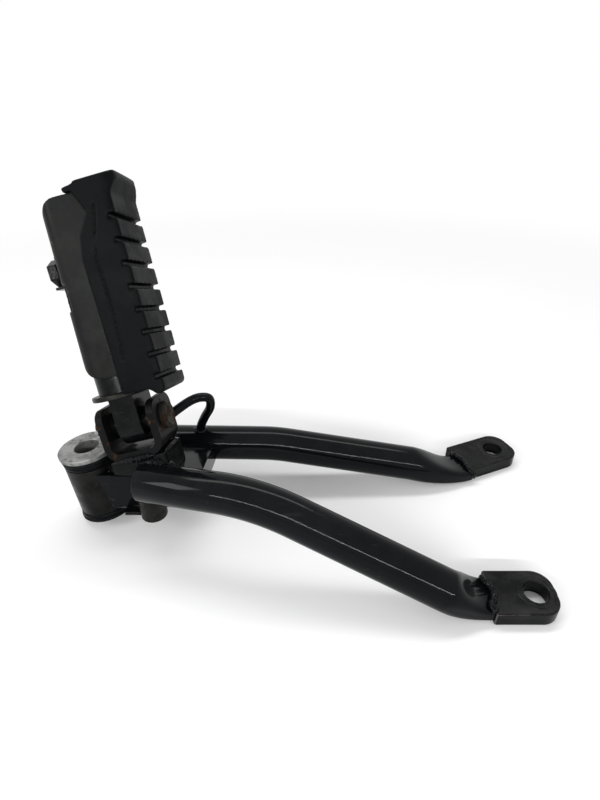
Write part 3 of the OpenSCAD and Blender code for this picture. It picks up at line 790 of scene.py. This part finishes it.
rod = loft(sweep(smooth_path(ROD_POINTS), lambda t, p: ROD_R, 28))
rod_mesh = bpy.data.meshes.new("hook_rod_skin")
rod.to_mesh(rod_mesh)
rod.free()
smooth_by_angle(rod_mesh, 50.0)
place("hook_rod_skin", rod_mesh, "gloss_black", "bracket", ["hook_rod"])

# %% [markdown]
# Moulded rubber and castings have no sharp edges at all. The solid is remeshed in small cubes
# of half a millimetre and then smoothed, which melts every corner by the same small amount.

# %% Soft copies of the moulded parts


def soft_copy(node, voxel, rounds, name):
    """A finely remeshed and smoothed copy of a CAD node's mesh."""
    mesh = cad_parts[node].data.copy()
    helper = bpy.data.objects.new(name + "_work", mesh)
    bpy.context.scene.collection.objects.link(helper)
    weld = helper.modifiers.new("weld", "WELD")
    weld.merge_threshold = JOIN_DISTANCE
    remesh = helper.modifiers.new("remesh", "REMESH")
    remesh.mode = "VOXEL"
    remesh.voxel_size = voxel
    soften = helper.modifiers.new("soften", "SMOOTH")
    soften.factor = 0.5
    soften.iterations = rounds
    seen = helper.evaluated_get(bpy.context.evaluated_depsgraph_get())
    result = bpy.data.meshes.new_from_object(seen)
    bpy.data.objects.remove(helper)
    result.name = name
    for polygon in result.polygons:
        polygon.use_smooth = True
    return result


TREAD_VOXEL = 0.45 * MM
TREAD_ROUNDS = 10
SHELL_VOXEL = 0.5 * MM
SHELL_ROUNDS = 7
tread_mesh = soft_copy("tread_rubber", TREAD_VOXEL, TREAD_ROUNDS, "tread_skin")
place("tread_skin", tread_mesh, "rubber", "peg", ["tread_rubber"])
shell_mesh = soft_copy("under_shell", SHELL_VOXEL, SHELL_ROUNDS, "shell_skin")
place("shell_skin", shell_mesh, "cast_shell", "peg", ["under_shell"])

# %% [markdown]
# The bush has two rubber halves with round flanges. A turned profile with small steps shows
# the moulded rings that hold the rubber against the collar and the sleeve.

# %% Rubber bush halves
SLEEVE_TOP = 7.4
SLEEVE_LEN = 27.0
FLANGE_R = 13.5
COLLAR_R = 8.1
UPPER_PROFILE = [
    (COLLAR_R, -2.4), (11.6, -2.4), (12.6, -2.7), (FLANGE_R, -3.4), (FLANGE_R, -4.3),
    (12.9, -4.7), (FLANGE_R - 0.2, -5.2), (FLANGE_R - 0.4, -6.6), (12.4, -7.38),
    (10.9, -7.4), (10.9, -19.0), (COLLAR_R, -19.0),
]


def turned_mesh(name, profile, place_matrix, count=96):
    """A closed profile of radius and height in millimetres, turned about Z."""
    made = bmesh.new()
    rows = []
    for i in range(count):
        angle = 2 * math.pi * i / count
        c, s = math.cos(angle), math.sin(angle)
        rows.append([made.verts.new(place_matrix @ (Vector((r * c, r * s, z)) * MM)) for r, z in profile])
    size = len(profile)
    for i in range(count):
        row, following = rows[i], rows[(i + 1) % count]
        for k in range(size):
            j = (k + 1) % size
            made.faces.new((row[k], following[k], following[j], row[j]))
    bmesh.ops.recalc_face_normals(made, faces=made.faces)
    mesh = bpy.data.meshes.new(name)
    made.to_mesh(mesh)
    made.free()
    smooth_by_angle(mesh, 60.0)
    return mesh


bottom = -2 * SLEEVE_TOP - SLEEVE_LEN
LOWER_PROFILE = [(r, bottom - z) for r, z in UPPER_PROFILE]
upper_mesh = turned_mesh("upper_bush_skin", UPPER_PROFILE, AT_BUSH)
lower_mesh = turned_mesh("lower_bush_skin", LOWER_PROFILE, AT_BUSH)
place("upper_bush_skin", upper_mesh, "rubber", "bracket", ["upper_bush"])
place("lower_bush_skin", lower_mesh, "rubber", "bracket", ["lower_bush"])

# %% [markdown]
# Weld beads hold the hanger together, and under thick paint they shine more than anything
# else on it. A bead is a row of frozen ripples: a swept round section whose radius swells and
# shrinks evenly, shaken a little by noise.

# %% Weld beads


def weld_bead(name, points, radius, pitch=1.9, rough=0.16):
    """A rippled bead along corner points in millimetres."""
    path = smooth_path(points, 16)
    length = sum((b - a).length for a, b in zip(path, path[1:]))
    ripples = max(2, round(length / (pitch * MM)))

    def radius_at(t, point):
        wave = 1 - abs(math.sin(math.pi * ripples * t)) ** 0.7
        wobble = noise.noise(point * 900.0)
        taper = min(1.0, 5 * t + 0.35, 5 * (1 - t) + 0.35)
        return radius * MM * taper * (1 - 0.17 * wave + rough * wobble)

    made = loft(sweep(path, radius_at, 18))
    mesh = bpy.data.meshes.new(name)
    made.to_mesh(mesh)
    made.free()
    for polygon in mesh.polygons:
        polygon.use_smooth = True
    return place(name, mesh, "gloss_black", "bracket")


def from_place(matrix, points):
    """Points of a leaning place, in millimetres of the whole frame."""
    return [tuple(matrix @ (Vector(p) * MM) / MM) for p in points]


AT_REAR_LUG = Matrix.Translation(REAR_HOLE) @ Matrix.Rotation(math.radians(REAR_TURN), 4, "Z")
FRONT_SEAM = [
    (-20.4, -9.4, 5.4), (-20.9, -9.2, 6.6), (-21.7, -8.2, 7.3), (-22.0, -6.5, 7.4),
    (-20.2, -4.0, 7.6), (-19.6, 0.5, 7.6), (-21.4, 4.6, 7.6), (-21.8, 7.6, 7.0), (-21.4, 8.8, 3.6),
]
REAR_SEAM = [
    (-23.4, -13.6, 2.4), (-24.4, -13.0, 5.8), (-25.4, -9.0, 7.5), (-24.2, -4.0, 7.6),
    (-24.6, 1.0, 7.6), (-25.2, 5.6, 6.8), (-24.8, 6.8, 3.4),
]
weld_bead("front_lug_weld", FRONT_SEAM, 1.8, 2.4, 0.3)
weld_bead("rear_lug_weld", from_place(AT_REAR_LUG, REAR_SEAM), 1.7, 2.4, 0.3)

# %% [markdown]
# The rod's foot and the bush have beads as well, and the biggest ones fill the corner where the
# front tube, the saddle and the clevis meet. There the points are first dropped onto the
# solids that carry them, so that no bead floats.

# %% Beads on curved seams


def surface_of(*nodes):
    """A search tree over the surfaces of some CAD nodes."""
    points, faces = [], []
    for node in nodes:
        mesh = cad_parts[node].data
        base = len(points)
        points += [v.co.copy() for v in mesh.vertices]
        faces += [[base + k for k in p.vertices] for p in mesh.polygons]
    return BVHTree.FromPolygons(points, faces)


def settle(points, tree):
    """Moves points in millimetres onto the nearest place of a surface."""
    return [tuple(tree.find_nearest(Vector(p) * MM)[0] / MM) for p in points]


print("settling ready")

# %% [markdown]
# The apex bead follows the seam of the saddle and the front tube. Walking along the tube and
# dropping each point on the tube first and then on the saddle finds the seam by itself.

# %% The apex welds
CLEVIS_DEPTH_HALF = 12.0
CLEVIS_FLOOR = -15.2
tube_surface = surface_of("front_tube")
saddle_surface = surface_of("saddle")
front_seam = from_place(
    AT_CLEVIS,
    [(x, -CLEVIS_DEPTH_HALF, CLEVIS_FLOOR - 6.0) for x in (-12.0, -7.0, -2.0, 3.0, 8.0, 12.0)],
)
front_seam = settle(settle(settle(front_seam, tube_surface), saddle_surface), tube_surface)
weld_bead("apex_front_weld", front_seam, 2.6, 2.6, 0.4)
side_seam = from_place(
    AT_CLEVIS,
    [(13.1, y, CLEVIS_FLOOR - 7.0) for y in (-12.0, -7.0, -2.0)],
)
side_seam = settle(settle(settle(side_seam, tube_surface), saddle_surface), tube_surface)
weld_bead("apex_side_weld", side_seam, 2.6, 2.6, 0.4)
floor_front = from_place(
    AT_CLEVIS,
    [(x, -CLEVIS_DEPTH_HALF + 0.3, CLEVIS_FLOOR) for x in (-9.0, -4.5, 0.0, 4.5, 9.0)],
)
weld_bead("clevis_front_weld", floor_front, 1.7, 2.0, 0.3)
floor_side = from_place(
    AT_CLEVIS,
    [(12.9, y, CLEVIS_FLOOR) for y in (-9.0, -3.0, 3.0, 9.0)],
)
weld_bead("clevis_side_weld", floor_side, 1.7, 2.0, 0.3)

# %% [markdown]
# Two smaller beads finish the hanger: a short one curls round the foot of the hook rod, and a
# straight one runs down the bush sleeve beside its web.

# %% Rod and sleeve welds
rear_surface = surface_of("rear_tube")
rod_foot = [(-163.4, 86.6, 34.0), (-161.6, 83.2, 34.0), (-158.0, 83.4, 34.0), (-156.6, 86.8, 34.0)]
weld_bead("rod_foot_weld", settle(rod_foot, rear_surface), 1.3, 1.6)
sleeve_surface = surface_of("bush_sleeve")
web_seam = settle([(-200.0, 51.5, z) for z in (34.0, 28.0, 22.0, 16.0)], sleeve_surface)
weld_bead("sleeve_weld", web_seam, 1.5, 1.9)

# %% [markdown]
# Bolts have pressed a round washer into the paint of each lug. The print is a low, narrow ring,
# about a tenth of a millimetre high, that catches the light.

# %% Washer prints
PRINT_R = 8.2
PRINT_PROFILE = [
    (PRINT_R - 0.7, LUG_TOP - 0.1), (PRINT_R - 0.5, LUG_TOP + 0.05), (PRINT_R, LUG_TOP + 0.12),
    (PRINT_R + 0.5, LUG_TOP + 0.05), (PRINT_R + 0.7, LUG_TOP - 0.1),
]
front_print = turned_mesh("front_washer_print", PRINT_PROFILE, Matrix.Identity(4), 128)
place("front_washer_print", front_print, "satin_black", "bracket")
rear_print = turned_mesh("rear_washer_print", PRINT_PROFILE, AT_REAR_LUG, 128)
place("rear_washer_print", rear_print, "satin_black", "bracket")

# %% [markdown]
# The floor is plain and pale. Near the part it takes a soft shadow; further out it turns into
# plain white light for the camera and for reflections, so that it runs into the white world
# with no line between them.

# %% Floor
FLOOR_COLOUR = 0.95
FLOOR_HALF = 30.0
FADE_START = 0.32
FADE_END = 0.75
PART_TO_CENTRE = (0.09, -0.05, 0.0)
FLOOR_GAP = 0.05 * MM


def make_floor():
    mesh = bpy.data.meshes.new("floor")
    signs = ((-1, -1), (1, -1), (1, 1), (-1, 1))
    corners = [(x * FLOOR_HALF, y * FLOOR_HALF, 0) for x, y in signs]
    mesh.from_pydata(corners, [], [(0, 1, 2, 3)])
    floor = bpy.data.objects.new("floor", mesh)
    floor.location = (0, 0, cad_box[0][2] - FLOOR_GAP)
    bpy.context.scene.collection.objects.link(floor)
    material = bpy.data.materials.new("floor_paper")
    material.use_nodes = True
    tree = material.node_tree
    tree.nodes.clear()
    point = add_node(tree, "ShaderNodeNewGeometry").outputs["Position"]
    centred = add_node(
        tree, "ShaderNodeVectorMath", {0: point, 1: PART_TO_CENTRE}, operation="ADD"
    )
    far = add_node(tree, "ShaderNodeVectorMath", {0: centred.outputs[0]}, operation="LENGTH")
    fade = ramp(tree, far.outputs["Value"], FADE_START, FADE_END)
    paper = add_node(tree, "ShaderNodeBsdfDiffuse", {"Color": (FLOOR_COLOUR,) * 3 + (1.0,)})
    glow = add_node(tree, "ShaderNodeEmission", {"Color": (1, 1, 1, 1), "Strength": 1.0})
    rays = add_node(tree, "ShaderNodeLightPath").outputs
    seen = combine(tree, "ADD", rays["Is Camera Ray"], rays["Is Glossy Ray"])
    seen = combine(tree, "ADD", seen, rays["Is Transmission Ray"])
    factor = combine(tree, "MULTIPLY", seen, fade)
    mixed = add_node(tree, "ShaderNodeMixShader", {0: factor, 1: paper.outputs[0], 2: glow.outputs[0]})
    output = tree.nodes.new("ShaderNodeOutputMaterial")
    tree.links.new(mixed.outputs[0], output.inputs[0])
    mesh.materials.append(material)
    return floor


make_floor()
print("floor at", round(cad_box[0][2], 5))

# %% [markdown]
# Glossy black paint shows the lights more than itself. A long low strip behind the camera draws
# the thin bright line along each tube, a soft box above gives the broad sheen on their tops, and
# a weak one fills from the left.
# The world is white where it is looked at, and a mild grey where it only lights.

# %% World and lamps
WORLD_LIGHT = 0.52


def make_world():
    world = bpy.data.worlds.new("studio")
    bpy.context.scene.world = world
    world.use_nodes = True
    tree = world.node_tree
    tree.nodes.clear()
    rays = add_node(tree, "ShaderNodeLightPath").outputs
    seen = combine(tree, "ADD", rays["Is Camera Ray"], rays["Is Glossy Ray"])
    seen = combine(tree, "ADD", seen, rays["Is Transmission Ray"])
    strength = ramp(tree, seen, 0.0, 1.0, WORLD_LIGHT, 1.0)
    back = add_node(tree, "ShaderNodeBackground", {"Color": (1, 1, 1, 1), "Strength": strength})
    output = tree.nodes.new("ShaderNodeOutputWorld")
    tree.links.new(back.outputs[0], output.inputs[0])


def add_area(name, place_at, aim, size, power):
    lamp = bpy.data.lights.new(name, "AREA")
    lamp.shape = "RECTANGLE"
    lamp.size, lamp.size_y = size
    lamp.energy = power
    holder = bpy.data.objects.new(name, lamp)
    bpy.context.scene.collection.objects.link(holder)
    holder.location = place_at
    holder.rotation_euler = (Vector(aim) - Vector(place_at)).to_track_quat("-Z", "Y").to_euler()
    return holder


make_world()
TARGET = (-0.1, 0.05, 0.03)
add_area("top_softbox", (-0.15, 0.4, 0.9), TARGET, (1.2, 0.16), 4.0)
add_area("low_strip", (-0.15, -1.05, 0.6), TARGET, (1.9, 0.018), 11.0)
add_area("left_fill", (-0.9, -0.3, 0.5), TARGET, (0.3, 0.3), 2.0)

# %% [markdown]
# The camera stands where the photograph was taken: 20 cm up, looking 33 degrees down, with a
# wide lens. These numbers come from fitting the edges of the part to the photograph.

# %% Camera
CAMERA_PLACE = (-0.1048, -0.1471, 0.2044)
CAMERA_DOWN = 33.04
FOCAL_PIXELS = 520.4
PICTURE_HEIGHT = 800
SENSOR = 36.0
camera_data = bpy.data.cameras.new("camera")
camera_data.sensor_fit = "VERTICAL"
camera_data.sensor_height = SENSOR
camera_data.lens = FOCAL_PIXELS * SENSOR / PICTURE_HEIGHT
camera_data.clip_start = 0.005
camera = bpy.data.objects.new("camera", camera_data)
camera.location = CAMERA_PLACE
camera.rotation_euler = (math.radians(90 - CAMERA_DOWN), 0, 0)
bpy.context.scene.collection.objects.link(camera)
bpy.context.scene.camera = camera
bpy.context.scene.view_settings.view_transform = "Standard"
print("lens", round(camera_data.lens, 2), "mm")
